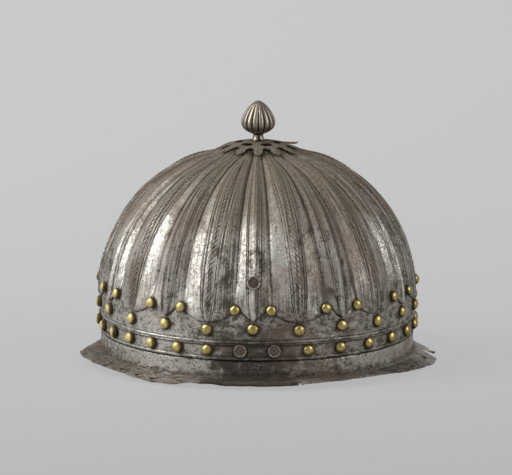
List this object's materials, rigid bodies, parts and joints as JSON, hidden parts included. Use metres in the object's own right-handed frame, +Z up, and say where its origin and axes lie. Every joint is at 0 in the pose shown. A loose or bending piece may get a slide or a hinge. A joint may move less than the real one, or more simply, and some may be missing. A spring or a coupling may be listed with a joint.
{
  "type": "cavalry helmet",
  "caption": "Fluted iron cavalry helmet bowl riveted over a flanged collar, with rows of brass-capped rivets, a pierced leaf rosette and a ribbed bud finial.",
  "frame": {"origin": "centre of the flange's underside, on the surface that the helmet stands on", "axes": "+Z up, -Y to the front of the helmet, +X to the viewer's right when looking at the front"},
  "size_m": [0.2496, 0.2492, 0.1809],
  "materials": {
    "skull_iron": "forged iron worn bright on the ridges, grey-brown patina in the creases",
    "brim_iron": "forged iron, matt brown patina with dark stains",
    "rosette_iron": "cut iron plate, matt brown patina",
    "plain_rivet_iron": "rusty iron with a lighter rim",
    "cap_brass": "polished yellow brass, darker at the rim",
    "finial_brass": "worn silvery brass, dark between the ribs",
    "strap_leather": "old dark brown leather"
  },
  "bodies": {
    "root": {"skull": "skull_iron", "brim": "brim_iron", "lining_band": "strap_leather", "rosette": "rosette_iron", "finial_ferrule": "finial_brass", "finial_bud": "finial_brass", "crown_washer": "plain_rivet_iron", "flute_plug": "plain_rivet_iron", "band_rivet_01": "plain_rivet_iron", "band_rivet_02": "plain_rivet_iron", "band_rivet_03": "cap_brass", "band_rivet_04": "cap_brass", "band_rivet_05": "cap_brass", "band_rivet_06": "cap_brass", "band_rivet_07": "cap_brass", "band_rivet_08": "cap_brass", "band_rivet_09": "cap_brass", "band_rivet_10": "cap_brass", "band_rivet_11": "cap_brass", "band_rivet_12": "cap_brass", "band_rivet_13": "cap_brass", "band_rivet_14": "cap_brass", "band_rivet_15": "cap_brass", "band_rivet_16": "cap_brass", "band_rivet_17": "cap_brass", "band_rivet_18": "cap_brass", "band_rivet_19": "cap_brass", "band_rivet_20": "cap_brass", "band_rivet_21": "cap_brass", "band_rivet_22": "cap_brass", "band_rivet_23": "cap_brass", "band_rivet_24": "cap_brass", "band_rivet_25": "cap_brass", "band_rivet_26": "cap_brass", "band_rivet_27": "cap_brass", "band_rivet_28": "cap_brass", "band_rivet_29": "cap_brass", "band_rivet_30": "cap_brass", "valley_rivet_01": "cap_brass", "valley_rivet_02": "cap_brass", "valley_rivet_03": "cap_brass", "valley_rivet_04": "cap_brass", "valley_rivet_05": "cap_brass", "valley_rivet_06": "cap_brass", "valley_rivet_07": "cap_brass", "valley_rivet_08": "cap_brass", "valley_rivet_09": "cap_brass", "valley_rivet_10": "cap_brass", "valley_rivet_11": "cap_brass", "valley_rivet_12": "cap_brass", "valley_rivet_13": "cap_brass", "valley_rivet_14": "cap_brass", "valley_rivet_15": "cap_brass", "valley_rivet_16": "cap_brass", "valley_rivet_17": "cap_brass", "valley_rivet_18": "cap_brass", "valley_rivet_19": "cap_brass", "valley_rivet_20": "cap_brass", "valley_rivet_21": "cap_brass", "valley_rivet_22": "cap_brass"}
  },
  "joints": []
}
